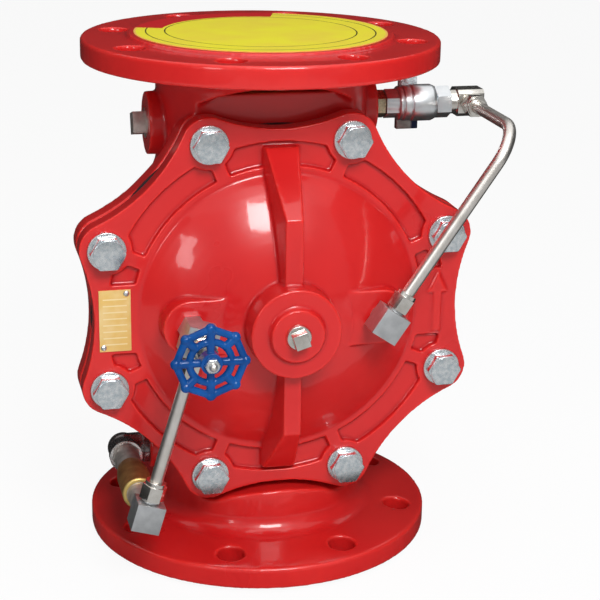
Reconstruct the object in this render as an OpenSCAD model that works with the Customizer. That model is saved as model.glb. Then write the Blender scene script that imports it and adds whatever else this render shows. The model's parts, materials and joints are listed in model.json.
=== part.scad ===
// Diaphragm alarm valve for a sprinkler main.
// A flanged body carries a bolted, domed cover over a rubber diaphragm. A supply line with a
// check valve and a handwheel needle valve fills the chamber under the cover, and a release
// line with a small ball valve empties it, which lets the diaphragm lift off its seat.
// The origin is the centre of the inlet's raised face. Water runs up +Z, the cover faces -Y.

/* [Pipe flanges] */
// Distance between the inlet and outlet faces
face_to_face = 420; // [412:1:440]
// Outer diameter of the pipe flanges
flange_d = 285; // [280:1:300]
// Thickness of a flange at its rim, without the raised face
flange_t = 17.5; // [16:0.5:22]
// Rise of the flange's back from its rim to its hub
flange_draft = 3.5; // [2:0.5:5]
// Gap between a raised face and the bolt holes
raised_gap = 3; // [1:0.5:6]
// Height of the raised faces
raised_h = 3; // [2:0.5:4]
// Distance from a flange's rim to the middle of its bolt holes
rim_edge = 22.5; // [20:0.5:26]
// Bolt holes in each pipe flange
pipe_bolts = 8; // [6:1:12]
// Diameter of the bolt holes in the inlet flange
inlet_hole_d = 22; // [18:1:26]
// Diameter of the bolt holes in the outlet flange
outlet_hole_d = 23; // [18:1:26]
// Bore of the inlet and outlet
bore_d = 150; // [136:1:154]
// Outside diameter of the necks
neck_d = 168; // [162:1:178]
// Radius of the fillet between a neck and its flange
neck_fillet = 16; // [8:1:18]

/* [Body] */
// Height of the cover's axis above the inlet face
axis_z = 212; // [206:1:218]
// Diameter of the round belly
belly_d = 260; // [252:1:268]
// Wall of the belly
belly_wall = 12; // [9:1:14]
// Radius of the blend between belly and necks
belly_blend = 40; // [20:1:60]
// Distance from the main axis to the joint face under the cover
joint_depth = 56; // [53:1:60]
// Thickness of the lobed flange on the body
body_flange_t = 20; // [16:1:26]
// Bore of the seat ring
seat_d = 116; // [100:1:120]
// Room that the necks leave round the cover
joint_room = 7; // [4:0.5:10]
// Radius of the hollow above the cover
hollow_top_r = 121; // [112:1:126]
// Thickness of the wall between inlet and outlet
duct_wall = 8; // [6:1:9]

/* [Cover] */
// Bolt circle of the cover
cover_pcd = 293; // [290:1:297]
// Radius of the lobe round each cover bolt
lobe_r = 21; // [19:0.5:23]
// Radius of the outline midway between two lobes
edge_r = 146; // [143:0.5:149]
// Thickness of the cover's flange
cover_t = 16; // [13:1:20]
// Diameter of the dome at its foot
dome_d = 234; // [228:1:238]
// Height of the dome above the floor of the pockets
dome_h = 43; // [38:1:48]
// Wall of the dome
dome_wall = 10; // [7:1:12]
// Depth of the pockets between the bolt pads
pocket_depth = 4.5; // [2:0.5:7]
// Outer diameter of the ring of pockets
pocket_d = 272; // [266:1:276]
// Width of the web from each bolt pad to the dome
gusset_w = 11; // [6:1:16]
// Height of the flat pads at the left and right of the cover
pad_h = 56; // [52:1:62]
// Width of the upright rib at its crest
rib_w = 13.5; // [10:0.5:18]
// Height of the rib's crest above the bolt seats
rib_h = 49; // [44:1:54]
// Diameter of the centre boss
boss_d = 70.5; // [62:0.5:76]
// Height of the centre boss above the bolt seats
boss_h = 60; // [56:1:66]
// Sideways distance of the two ports from the cover's axis
port_x = 75; // [70:1:80]
// Radius of the pad round a port
port_pad_r = 22; // [19:0.5:24]
// Height of the port pads above the bolt seats
port_pad_h = 31; // [28:0.5:34]

/* [Diaphragm and disc] */
// Thickness of the diaphragm
diaphragm_t = 4; // [3:0.5:6]
// Radius of the diaphragm
diaphragm_r = 146.5; // [145:0.5:149]
// Diameter of the plate that clamps the diaphragm from the chamber side
clamp_d = 132; // [110:1:136]
// Diameter of the plate that holds it from the seat side
retainer_d = 100; // [80:1:104]
// Thread diameter of the clamp bolt
clamp_bolt_d = 16; // [12:1:20]
// Mean radius of the return spring
spring_r = 19; // [17:0.5:20]

/* [Cover bolts] */
// Thread diameter of the cover bolts
bolt_d = 16; // [12:1:17]
// Width across the flats of their heads
bolt_af = 24; // [20:1:26]
// Height of their heads
bolt_head_h = 10; // [7:1:13]
// Outer diameter of their washers
washer_d = 30; // [28:1:34]
// Thickness of their washers
washer_t = 3; // [2:0.5:4]

/* [Tubes and blocks] */
// Outer diameter of the tubes
tube_d = 10; // [8:0.5:11]
// Bore of the tubes
tube_bore = 8; // [5:0.5:8]
// Side of the square elbow blocks
block = 22; // [20:0.5:26]
// Width across the flats of the tube nuts
nut_af = 17; // [16:0.5:19]
// Length of the tube nuts
nut_l = 15; // [12:0.5:18]
// Bend radius of the release tube
bend_r = 30; // [22:1:40]

/* [Supply line] */
// Distance from the body's boss to the supply line's axis
supply_reach = 21; // [17:0.5:27]
// Height of the supply line's axis above the inlet face
supply_z = 73.5; // [68:0.5:80]
// Distance of the supply tube in front of the main axis
supply_depth = 133; // [128:1:140]
// Outer diameter of the pipe nipple
nipple_d = 21.3; // [18:0.1:23]
// Outer diameter of the check valve
check_d = 26; // [25:0.5:32]
// Length of the check valve
check_l = 47; // [44:1:56]

/* [Needle valve] */
// Distance of the handwheel's middle plane in front of the main axis
wheel_depth = 182; // [179:1:192]
// Radius of the handwheel to the tips of its lobes
wheel_r = 29.5; // [26:0.5:36]
// Radius of the handwheel's inner ring
wheel_ring_r = 15.5; // [14:0.5:17]
// Diameter of the stem
stem_d = 8; // [6:0.5:9]
// Diameter of the needle valve's seat hole
orifice_d = 6; // [4:0.5:7]

/* [Release line] */
// Distance from the ball valve to the release elbow's outlet
elbow_shank = 16.8; // [14:0.2:24]
// Distance of the release line's axis below the outlet face
release_drop = 61; // [54:1:66]
// Distance of the release tube in front of its port's pad
release_stand = 15; // [13:0.5:20]
// Outer diameter of the ball valve's body
ball_body_d = 30; // [28:0.5:34]
// Diameter of the ball
ball_d = 19; // [17:0.5:20]
// Bore of the ball
ball_bore = 9; // [6:0.5:9.5]
// Width of the lever
lever_w = 16; // [12:0.5:20]
// Reach of the lever below its stem
lever_l = 27; // [24:1:32]

/* [Plugs and plate] */
// Side of the centre plug's square head
centre_square = 11.5; // [9:0.5:14]
// Side of the side plug's square head
side_square = 17; // [14:0.5:20]
// Distance of the side plug's axis below the outlet face
side_plug_drop = 70; // [62:1:76]
// Width of the nameplate
plate_w = 24.5; // [18:0.5:26]
// Height of the nameplate
plate_h = 49.5; // [40:0.5:56]
// Thickness of the nameplate
plate_t = 1; // [0.6:0.1:2]

/* [Hidden] */
$fn = 64;

// Clearances: screwed or pushed-in pieces, moving faces, and an overlap for clean cuts
fit = 0.05;
face_gap = 0.2;
cut = 1;
// How far a blend bites into the faces that it joins
blend_bite = 0.3;

// Hexagon heads: share of the flats that the round face covers, its height and its bevel's angle
hex_face = 0.96;
hex_face_h = 1;
hex_turn = 30;

// Colours
red = "#d42a28";
steel = "#b9bcbd";
dark_steel = "#77797a";
bright_steel = "#d0d3d4";
brass = "#b8863c";
bronze = "#b07f45";
blue = "#1560bd";
black_rubber = "#26282a";
white_seal = "#e9e7e0";

// Cover stack, as depths in front of the main axis
cover_bolts_n = 8;
cover_back = joint_depth + diaphragm_t;
cover_face = cover_back + cover_t;
pocket_floor = cover_face - pocket_depth;
dome_r = dome_d / 2;
dome_ball_r = (dome_r * dome_r + dome_h * dome_h) / (2 * dome_h);
dome_top = pocket_floor + dome_h;
dome_centre = dome_top - dome_ball_r;
boss_face = cover_face + boss_h;
boss_disc_d = 44;
boss_disc_top_d = 41;
boss_disc_h = 5;
rib_crest = cover_face + rib_h;
rib_foot_r = 132;
rib_kink_r = 86;
rib_foot_h = 4;
rib_foot = cover_face + rib_foot_h;
rib_draft = 8;
port_face = cover_face + port_pad_h;
port_thread_r = 8;
port_thread_l = 12;
centre_thread_r = 9;
chamber_r = 108;
spring_room = 5;
spring_pocket_r = spring_r + spring_room;
boss_roof = 18;
spring_roof = boss_face - boss_roof;

// Lobed outline: bolts on a circle, with one hollow arc between two lobes
bolt_r = cover_pcd / 2;
bolt_step = 360 / cover_bolts_n;
hollow_r = (edge_r * edge_r + bolt_r * bolt_r - 2 * edge_r * bolt_r * cos(bolt_step / 2)
    - lobe_r * lobe_r) / (2 * (lobe_r + bolt_r * cos(bolt_step / 2) - edge_r));
hollow_extra = 2;
room_share = 0.85;
hollow_top = bolt_r * sin(bolt_a(1)) + lobe_r + joint_room - sqrt(pow(hollow_top_r, 2)
    - pow(bolt_r * cos(bolt_a(1)), 2)) + hollow_extra;
bolt_room = 1;
bolt_hole_r = bolt_d / 2 + bolt_room;

// Body
pipe_pcd = flange_d - 2 * rim_edge;
raised_d = pipe_pcd - outlet_hole_d - 2 * raised_gap;
neck_r = neck_d / 2;
bore_r = bore_d / 2;
belly_r = belly_d / 2;
cavity_r = belly_r - belly_wall;
passage_front = joint_depth - body_flange_t;
mouth_l = 36;
straight_bore = 38;
way_step = 1;
way_r = bore_r + way_step;
duct_r = bore_r + duct_wall;
duct_front = passage_front + duct_wall;
duct_bulge = 2;
seat_r = seat_d / 2;
seat_ring_t = 6;
seat_spigot_l = 8;
seat_spigot_wall = 4;
seat_gap = 0.3;
seat_top = joint_depth - seat_gap;
seat_inset = 2;
seat_tube_r = seat_r + seat_spigot_wall + duct_wall;
seat_tube_end = seat_top - seat_ring_t;

// Ports of the body
side_plug_z = face_to_face - side_plug_drop;
release_z = face_to_face - release_drop;
side_boss_r = 25;
side_boss_h = 9;
side_boss_x = neck_r + side_boss_h;
side_thread_r = 12;
release_boss_r = 25;
release_boss_h = 8;
release_boss_x = neck_r + release_boss_h;
release_thread_r = 10;
supply_boss_r = 18;
supply_boss_h = 11;
supply_boss_x = neck_r + supply_boss_h;
supply_thread_r = 10;
body_thread_l = 14;

// Disc assembly
clamp_back = cover_back + face_gap / 2;
clamp_t = 7;
clamp_edge = 2;
clamp_bevel = 8;
clamp_holes = 6;
clamp_hole_r = 4;
clamp_hole_l = 3;
spring_seat_r = spring_r + 6;
retainer_t = 10;
retainer_edge = 4;
retainer_bevel = 14;
retainer_front = joint_depth - face_gap / 2;
clamp_bolt_r = clamp_bolt_d / 2;
clamp_bolt_af = clamp_bolt_d * 1.5;
clamp_head_h = 10;
clamp_nut_h = 10;
clamp_bolt_end = 3;
spring_wire_r = 1.8;
spring_turns = 6;
spring_gap = 0.3;
spring_foot = clamp_back + clamp_t + spring_gap;

// Tubes and blocks
tube_r = tube_d / 2;
neck_thread_r = 6.5;
block_neck = 3.5;
socket_floor = 7.5;
passage_r = 3;
back_passage_r = 3.5;
block_collar_r = port_thread_r + 2;
nut_collar_l = 3;
tube_fit = 0.15;
nut_grip = 1.5;
nut_turned = 1;

// Supply line
supply_x = -supply_boss_x - supply_reach;
supply_run = [-port_x - supply_x, axis_z - supply_z];
supply_turn = atan2(supply_run.x, supply_run.y);
supply_l = norm(supply_run);
elbow_r = 12;
elbow_knee_r = elbow_r + 0.8;
elbow_bore_r = 7;
elbow_side_bore_r = 6.5;
elbow_shoulder = 5;
collar_r = 13.5;
collar_l = 7;
elbow_mouth = 20;
nipple_r = nipple_d / 2;
nipple_grip = 9;
nipple_l = 46;
nipple_start = elbow_mouth - nipple_grip;
check_start = nipple_start + nipple_l - nipple_grip;
check_r = check_d / 2;
check_seat_at = nipple_grip;
check_seat_t = 4;
check_hole_r = 5;
check_bevel = 1;
check_taper = 1.8;
check_taper_l = 12;
check_bore_r = 10;
check_lid_at = check_l - 12;
poppet_r = 7.5;
poppet_t = 4;
poppet_stem_r = 2.5;
poppet_short = 1;
check_wire_r = 0.6;
check_spring_r = poppet_stem_r + 2.2;
check_turns = 5;
poppet_at = check_seat_at + check_seat_t + face_gap / 2;
guide_t = 6;
guide_holes = 4;
guide_hole_r = 1.6;
guide_hole_at = check_bore_r / 2 + 1;
guide_rim = 2;
connector_r = 9.5;
connector_end = supply_depth - block / 2;
block_spigot_r = 6;
block_spigot_l = 8;

// Needle valve, as depths in front of the main axis
needle_extra = 2;
needle_block = block + needle_extra;
needle_face = supply_depth + needle_block / 2;
needle_hex_af = 20;
needle_seat_back = 3;
needle_seat = supply_depth - needle_seat_back;
needle_bore_r = 6.5;
needle_disc_r = 5.5;
needle_disc_t = 5;
needle_bevel = 1;
stem_r = stem_d / 2;
stem_foot = needle_seat + needle_disc_t + face_gap;
swivel_r = 2;
swivel_l = 3;
bonnet_af = 20;
bonnet_hex_l = 7;
bonnet_spigot_l = 3.5;
gland_af = 17;
gland_l = 11;
gland_floor = 3;
wheel_hub_l = 11;
wheel_hub_r = 8;
wheel_stem_r = 3;
wheel_lobe_r = 4;
wheel_bar_r = 2.8;
wheel_tube_r = 2.7;
wheel_spoke_r = 3;
outer_spoke_r = 3.3;
spoke_root = 1;
wheel_nut_af = 10;
wheel_nut_l = 5;
stem_tip = 1;
wheel_stem_end = wheel_depth + wheel_hub_l / 2 + wheel_nut_l + stem_tip;

// Release line
bushing_af = 20;
bushing_hex_l = 10;
bushing_spigot_r = 8;
bushing_spigot_l = 8;
end_gap = 1;
end_at = release_boss_x + bushing_hex_l + end_gap;
end_af = 21;
end_hex_l = 10.5;
body_at = end_at + end_hex_l;
end_spigot_l = 8.5;
ball_r = ball_d / 2;
ball_cavity_r = 11;
seat_ring_l = 5;
ball_nest = 0.5;
ball_x = body_at + end_spigot_l + ball_r - ball_nest;
cavity_end = ball_x + ball_r - ball_nest;
body_barrel_l = 32.5;
groove = 1;
first_band = 4;
second_band = 11;
body_hex_af = 23;
body_hex_l = 12;
body_end = body_at + body_barrel_l + body_hex_l;
release_x = body_end + elbow_shank;
release_run = [release_x - port_x, release_z - axis_z];
release_turn = atan2(release_run.x, release_run.y);
release_l = norm(release_run);
release_depth = port_face + release_stand;
elbow_turned_r = block / 2 + 2.6;
elbow_shank_r = block / 2 - 1;
elbow_spigot_r = 8;
elbow_spigot_l = 9;
stem_boss_r = 7.5;
stem_boss_h = 5;
stem_boss_y = ball_body_d / 2 + stem_boss_h;
ball_stem_r = 3.5;
ball_socket = 2;
gland_nut_af = 14;
gland_nut_l = 5;
lever_y = stem_boss_y + gland_nut_l;
lever_t = 3;
lever_tail = 22;
sleeve_wall = 1.4;
sleeve_l = 13;
lever_nut_af = 10;
lever_nut_l = 4;

// Plugs and plate
plug_face_r = 10.2;
plug_face_h = 3;
plug_taper = 1;
plug_square_h = 9;
centre_turn = 17;
side_head_h = 11;
side_neck_l = 1;
side_turn = 16;
plate_x = -130;
rivet_inset = 3.2;
rivet_r = 2.4;
rivet_shank_r = 1.2;
rivet_rise = 1.2;
arrow_x = 130;
arrow_t = 2;
arrow_l = 50;
arrow_head_l = 17;
arrow_head_w = 16;
arrow_stem_w = 6;

function polar(r, a) = [r * cos(a), r * sin(a)];
function bolt_a(k) = bolt_step * (k + 0.5);

// Frames. front: x across, y up and z out of the cover from the main axis.
module front() { translate([0, 0, axis_z]) rotate([90, 0, 0]) children(); }
module release_axis() { translate([0, 0, release_z]) rotate([0, 90, 0]) children(); }
module supply_axis() { translate([supply_x, 0, supply_z]) rotate([90, 0, 0]) children(); }
module at_bolts() { for (k = [0 : cover_bolts_n - 1]) translate(polar(bolt_r, bolt_a(k))) children(); }

module hex_bar(af, l) { cylinder(d = af / cos(30), h = l, $fn = 6); }

// Hexagon with its end corners turned off at 30 degrees
module hex_head(af, l) {
    face_r = af / 2 * hex_face;
    turned_top = face_r + hex_face_h / tan(hex_turn);
    intersection() {
        hex_bar(af, l);
        union() {
            cylinder(r1 = turned_top + (l - hex_face_h) / tan(hex_turn), r2 = turned_top, h = l - hex_face_h);
            cylinder(r = face_r, h = l);
        }
    }
}

module ring(r, hole_r, l) {
    difference() {
        cylinder(r = r, h = l);
        translate([0, 0, -cut]) cylinder(r = hole_r, h = l + 2 * cut);
    }
}

// Coil along +Z as one swept solid
module coil(r, wire_r, l, turns, sides = 6, steps = 16) {
    n = turns * steps;
    points = [for (i = [0 : n], k = [0 : sides - 1])
        let (a = 360 * i / steps, b = 360 * k / sides, rr = r + wire_r * cos(b))
        [rr * cos(a), rr * sin(a), l * i / n + wire_r * sin(b)]];
    walls = [for (i = [0 : n - 1], k = [0 : sides - 1])
        let (m = (k + 1) % sides)
        [i * sides + k, i * sides + m, (i + 1) * sides + m, (i + 1) * sides + k]];
    start = [for (k = [sides - 1 : -1 : 0]) k];
    end = [for (k = [0 : sides - 1]) n * sides + k];
    polyhedron(points = points, faces = concat([start], walls, [end]));
}

// Lobed outline shared by the cover and the body, or the room round it
module lobed_outline(room = 0) {
    difference() {
        polygon([for (k = [0 : cover_bolts_n - 1])
            each [polar(bolt_r, bolt_a(k)), polar(edge_r + hollow_r, bolt_a(k) + bolt_step / 2)]]);
        for (k = [0 : cover_bolts_n - 1])
            translate(polar(edge_r + hollow_r, bolt_a(k) + bolt_step / 2))
                circle(hollow_r - room_share * room, $fn = 180);
    }
    at_bolts() circle(lobe_r + room);
}

// Pipe flange with its raised face at z = 0 and its drafted back towards +Z
module pipe_flange(hole_d) {
    rim_z = raised_h + flange_t;
    hub_z = rim_z + flange_draft;
    hub_r = neck_r + neck_fillet;
    difference() {
        union() {
            rotate_extrude() polygon([
                [0, 0], [raised_d / 2, 0], [raised_d / 2, raised_h], [flange_d / 2 - cut, raised_h],
                [flange_d / 2, raised_h + cut], [flange_d / 2, rim_z - cut], [flange_d / 2 - cut, rim_z],
                [hub_r, hub_z], [0, hub_z]
            ]);
            translate([0, 0, hub_z]) rotate_extrude() difference() {
                translate([bore_r, -cut]) square([neck_r + neck_fillet - bore_r, neck_fillet + cut]);
                translate([neck_r + neck_fillet, neck_fillet]) circle(neck_fillet + blend_bite);
            }
        }
        for (k = [0 : pipe_bolts - 1])
            rotate(360 / pipe_bolts * (k + 0.5)) translate([pipe_pcd / 2, 0, -cut])
                cylinder(d = hole_d, h = hub_z + neck_fillet + 2 * cut);
    }
}

// Blend between the belly and a neck
module belly_neck_blend() {
    reach = neck_r + belly_blend;
    rise = sqrt(pow(belly_r + belly_blend, 2) - reach * reach);
    touch = belly_r / (belly_r + belly_blend);
    rotate_extrude() difference() {
        polygon([[0, 0], [reach * touch, rise * touch], [reach, rise], [0, rise]]);
        translate([reach, rise]) circle(belly_blend + blend_bite);
    }
}

module port_boss(r, x) { rotate([0, 90, 0]) cylinder(r = r, h = x); }

module body_shell() {
    pipe_flange(inlet_hole_d);
    translate([0, 0, face_to_face]) mirror([0, 0, 1]) pipe_flange(outlet_hole_d);
    translate([0, 0, raised_h]) cylinder(r = neck_r, h = face_to_face - 2 * raised_h);
    translate([0, 0, axis_z]) {
        sphere(belly_r);
        belly_neck_blend();
        mirror([0, 0, 1]) belly_neck_blend();
    }
    front() translate([0, 0, passage_front]) linear_extrude(body_flange_t) lobed_outline();
    translate([0, 0, side_plug_z]) mirror([1, 0, 0]) port_boss(side_boss_r, side_boss_x);
    translate([0, 0, release_z]) port_boss(release_boss_r, release_boss_x);
    translate([0, 0, supply_z]) mirror([1, 0, 0]) port_boss(supply_boss_r, supply_boss_x);
}

// Space behind the front wall of a neck, between two heights
module behind(front_depth, low, high) {
    translate([-flange_d, -front_depth, low]) cube([2 * flange_d, flange_d, high - low]);
}

// Wall between the inlet and the outlet: an upright duct that turns to the seat
module duct() {
    intersection() {
        union() {
            translate([0, 0, axis_z - belly_r]) cylinder(r = duct_r, h = belly_r);
            translate([0, 0, axis_z]) sphere(duct_r + duct_bulge);
        }
        behind(duct_front, axis_z - cavity_r - cut, axis_z + duct_r + duct_bulge + cut);
    }
    front() cylinder(r = seat_tube_r, h = seat_tube_end);
}

module inlet_passage() {
    translate([0, 0, -cut]) cylinder(r = bore_r, h = mouth_l + 2 * cut);
    translate([0, 0, mouth_l]) cylinder(r = way_r, h = straight_bore - mouth_l);
    intersection() {
        union() {
            translate([0, 0, mouth_l]) cylinder(r = way_r, h = axis_z - mouth_l);
            translate([0, 0, axis_z]) sphere(way_r + duct_bulge);
        }
        behind(passage_front, 0, face_to_face);
    }
    front() cylinder(r = seat_r + seat_spigot_wall + fit, h = joint_depth + cut);
}

module outlet_passage() {
    translate([0, 0, face_to_face - mouth_l - cut]) cylinder(r = bore_r, h = mouth_l + 2 * cut);
    translate([0, 0, face_to_face - straight_bore]) cylinder(r = way_r, h = straight_bore - mouth_l);
    intersection() {
        translate([0, 0, axis_z + duct_r]) cylinder(r = way_r, h = face_to_face - mouth_l - axis_z - duct_r);
        behind(passage_front, 0, face_to_face);
    }
}

module body_ports() {
    translate([0, 0, side_plug_z]) mirror([1, 0, 0]) port_boss(side_thread_r + fit, side_boss_x + cut);
    translate([0, 0, release_z]) port_boss(release_thread_r + fit, release_boss_x + cut);
    translate([0, 0, supply_z]) mirror([1, 0, 0]) port_boss(supply_thread_r + fit, supply_boss_x + cut);
}

module valve_body() {
    color(red) difference() {
        union() {
            difference() {
                body_shell();
                front() translate([0, 0, joint_depth]) linear_extrude(flange_d) {
                    lobed_outline(joint_room);
                    translate([0, hollow_top]) circle(hollow_top_r, $fn = 180);
                }
                translate([0, 0, axis_z]) sphere(cavity_r);
                outlet_passage();
            }
            duct();
        }
        inlet_passage();
        body_ports();
        front() at_bolts() translate([0, 0, passage_front - cut])
            cylinder(r = bolt_d / 2 + fit, h = body_flange_t + 2 * cut);
    }
}

module seat_ring() {
    color(bronze) front() difference() {
        union() {
            translate([0, 0, seat_tube_end]) cylinder(r = seat_tube_r - seat_inset, h = seat_ring_t);
            translate([0, 0, seat_tube_end - seat_spigot_l])
                cylinder(r = seat_r + seat_spigot_wall, h = seat_spigot_l);
        }
        translate([0, 0, seat_tube_end - seat_spigot_l - cut])
            cylinder(r = seat_r, h = seat_ring_t + seat_spigot_l + 2 * cut);
    }
}

// The rim of the diaphragm is notched round the cover bolts
module diaphragm() {
    color(black_rubber) front() translate([0, 0, joint_depth]) linear_extrude(diaphragm_t) difference() {
        circle(diaphragm_r, $fn = 180);
        at_bolts() circle(bolt_hole_r);
        circle(clamp_bolt_r + face_gap);
    }
}

module clamp_plate() {
    color(dark_steel) front() translate([0, 0, clamp_back]) difference() {
        rotate_extrude() polygon([
            [clamp_bolt_r + fit, 0], [clamp_d / 2, 0], [clamp_d / 2, clamp_edge],
            [clamp_d / 2 - clamp_bevel, clamp_t - clamp_edge],
            [spring_seat_r + clamp_edge, clamp_t - clamp_edge], [spring_seat_r, clamp_t],
            [clamp_bolt_r + fit, clamp_t]
        ]);
        for (k = [0 : clamp_holes - 1])
            rotate(360 / clamp_holes * k) translate([clamp_d / 3, 0, clamp_t - clamp_hole_l])
                cylinder(r = clamp_hole_r, h = clamp_t);
    }
}

module retaining_plate() {
    color(dark_steel) front() translate([0, 0, retainer_front - retainer_t]) rotate_extrude() polygon([
        [clamp_bolt_r + fit, 0], [retainer_d / 2 - retainer_bevel, 0],
        [retainer_d / 2, retainer_t - retainer_edge], [retainer_d / 2, retainer_t],
        [clamp_bolt_r + fit, retainer_t]
    ]);
}

module clamp_bolt() {
    head_end = retainer_front - retainer_t;
    color(steel) front() {
        translate([0, 0, head_end]) mirror([0, 0, 1]) hex_head(clamp_bolt_af, clamp_head_h);
        translate([0, 0, head_end])
            cylinder(r = clamp_bolt_r, h = clamp_back + clamp_t + clamp_nut_h + clamp_bolt_end - head_end);
    }
}

module clamp_nut() {
    color(steel) front() translate([0, 0, clamp_back + clamp_t]) difference() {
        hex_head(clamp_bolt_af, clamp_nut_h);
        translate([0, 0, -cut]) cylinder(r = clamp_bolt_r + fit, h = clamp_nut_h + 2 * cut);
    }
}

module return_spring() {
    foot = spring_foot + spring_wire_r;
    color(steel) front() translate([0, 0, foot])
        coil(spring_r, spring_wire_r, spring_roof - spring_gap - spring_wire_r - foot, spring_turns);
}

// Upright rib with a flat crest, sloping ends and drafted sides
module cover_rib() {
    foot_w = rib_w / 2 + (rib_crest - pocket_floor) * tan(rib_draft);
    intersection() {
        rotate([90, 0, 90]) linear_extrude(4 * rib_w, center = true) polygon([
            [-rib_foot_r, cover_back], [rib_foot_r, cover_back], [rib_foot_r, rib_foot],
            [rib_kink_r, rib_crest], [-rib_kink_r, rib_crest], [-rib_foot_r, rib_foot]
        ]);
        rotate([90, 0, 0]) linear_extrude(3 * rib_foot_r, center = true) polygon([
            [-foot_w, cover_back], [-foot_w, pocket_floor], [-rib_w / 2, rib_crest],
            [rib_w / 2, rib_crest], [foot_w, pocket_floor], [foot_w, cover_back]
        ]);
    }
}

module pocket_outline() {
    difference() {
        circle(d = pocket_d, $fn = 180);
        circle(dome_r, $fn = 180);
        at_bolts() circle(lobe_r - 1);
        for (k = [0 : cover_bolts_n - 1])
            rotate(bolt_a(k)) translate([dome_r - lobe_r, -gusset_w / 2]) square([2 * lobe_r, gusset_w]);
        square([2 * pocket_d, pad_h], center = true);
    }
}

// Pad that runs from a port's rim into the dome
module port_pad() {
    linear_extrude(port_face) {
        translate([port_x, 0]) circle(port_pad_r);
        translate([0, -port_pad_r]) square([port_x, 2 * port_pad_r]);
    }
}

module flow_arrow() {
    stem = arrow_stem_w / 2;
    head = arrow_head_w / 2;
    neck = arrow_l / 2 - arrow_head_l;
    linear_extrude(arrow_t + cut) polygon([
        [-stem, -arrow_l / 2], [stem, -arrow_l / 2], [stem, neck], [head, neck],
        [0, arrow_l / 2], [-head, neck], [-stem, neck]
    ]);
}

module cover() {
    color(red) front() difference() {
        union() {
            difference() {
                translate([0, 0, cover_back]) linear_extrude(cover_t) lobed_outline();
                translate([0, 0, pocket_floor]) linear_extrude(cover_t) pocket_outline();
            }
            intersection() {
                translate([0, 0, dome_centre]) sphere(dome_ball_r, $fn = 180);
                translate([0, 0, cover_back]) cylinder(r = dome_r, h = dome_top);
            }
            cover_rib();
            translate([0, 0, cover_back]) cylinder(d = boss_d, h = boss_face - cover_back);
            translate([0, 0, boss_face]) cylinder(d1 = boss_disc_d, d2 = boss_disc_top_d, h = boss_disc_h);
            intersection() {
                union() {
                    port_pad();
                    mirror([1, 0, 0]) port_pad();
                }
                translate([0, 0, cover_back]) cylinder(r = dome_r, h = dome_top);
            }
            translate([arrow_x, 0, cover_face - cut]) flow_arrow();
        }
        intersection() {
            translate([0, 0, dome_centre]) sphere(dome_ball_r - dome_wall, $fn = 180);
            translate([0, 0, cover_back - cut]) cylinder(r = chamber_r, h = dome_top);
        }
        cylinder(r = spring_pocket_r, h = spring_roof);
        cylinder(r = centre_thread_r + fit, h = boss_face + boss_disc_h + cut);
        for (x = [-port_x, port_x])
            translate([x, 0, 0]) cylinder(r = port_thread_r + fit, h = port_face + cut);
        at_bolts() cylinder(r = bolt_hole_r, h = cover_face + cut);
    }
}

module cover_bolts() {
    seat = cover_face + washer_t;
    color(bright_steel) front() at_bolts() {
        translate([0, 0, seat]) hex_head(bolt_af, bolt_head_h);
        translate([0, 0, passage_front]) cylinder(r = bolt_d / 2, h = seat - passage_front);
    }
}

module cover_washers() {
    color(bright_steel) front() at_bolts() translate([0, 0, cover_face])
        ring(washer_d / 2, bolt_d / 2 + fit, washer_t);
}

module centre_plug() {
    plug_seat = boss_face + boss_disc_h;
    color(steel) front() {
        translate([0, 0, spring_roof]) cylinder(r = centre_thread_r, h = plug_seat - spring_roof);
        translate([0, 0, plug_seat])
            cylinder(r1 = plug_face_r, r2 = plug_face_r - plug_taper, h = plug_face_h);
        translate([0, 0, plug_seat + plug_face_h + plug_square_h / 2]) rotate(centre_turn)
            cube([centre_square, centre_square, plug_square_h], center = true);
    }
}

module side_plug() {
    color(dark_steel) translate([-side_boss_x, 0, side_plug_z]) rotate([0, -90, 0]) {
        translate([0, 0, -body_thread_l]) cylinder(r = side_thread_r, h = body_thread_l + side_neck_l);
        translate([0, 0, (side_head_h + side_neck_l) / 2]) rotate(side_turn)
            cube([side_square, side_square, side_head_h - side_neck_l], center = true);
    }
}

module nameplate() {
    color("#e0b450") front() translate([plate_x, 0, cover_face + plate_t / 2]) difference() {
        cube([plate_w, plate_h, plate_t], center = true);
        at_rivets() cylinder(r = rivet_shank_r + fit, h = 2 * plate_t, center = true);
    }
}

module at_rivets() {
    for (s = [-1, 1])
        translate([s * (plate_w / 2 - rivet_inset), s * (plate_h / 2 - rivet_inset), 0]) children();
}

// Domed rivets that hold the plate at two corners
module nameplate_rivets() {
    cap_r = (rivet_r * rivet_r + rivet_rise * rivet_rise) / (2 * rivet_rise);
    color(bright_steel) front() translate([plate_x, 0, cover_face]) at_rivets() {
        cylinder(r = rivet_shank_r, h = plate_t);
        translate([0, 0, plate_t]) intersection() {
            translate([0, 0, rivet_rise - cap_r]) sphere(cap_r);
            cylinder(r = rivet_r, h = rivet_rise);
        }
    }
}

// Street elbow: screwed into the body along X, with a female mouth towards the front
module supply_elbow() {
    color(dark_steel) supply_axis() difference() {
        union() {
            sphere(elbow_knee_r);
            cylinder(r = elbow_r, h = elbow_mouth);
            translate([0, 0, elbow_mouth - collar_l]) cylinder(r = collar_r, h = collar_l);
            rotate([0, 90, 0]) {
                cylinder(r = elbow_r, h = supply_reach);
                translate([0, 0, supply_reach - elbow_shoulder]) cylinder(r = collar_r, h = elbow_shoulder);
                cylinder(r = supply_thread_r, h = supply_reach + body_thread_l);
            }
        }
        cylinder(r = elbow_bore_r, h = elbow_mouth);
        rotate([0, 90, 0]) cylinder(r = elbow_side_bore_r, h = supply_reach + body_thread_l + cut);
        translate([0, 0, nipple_start]) cylinder(r = nipple_r + fit, h = elbow_mouth);
    }
}

module supply_nipple() {
    color(steel) supply_axis() translate([0, 0, nipple_start]) ring(nipple_r, elbow_bore_r, nipple_l);
}

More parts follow.
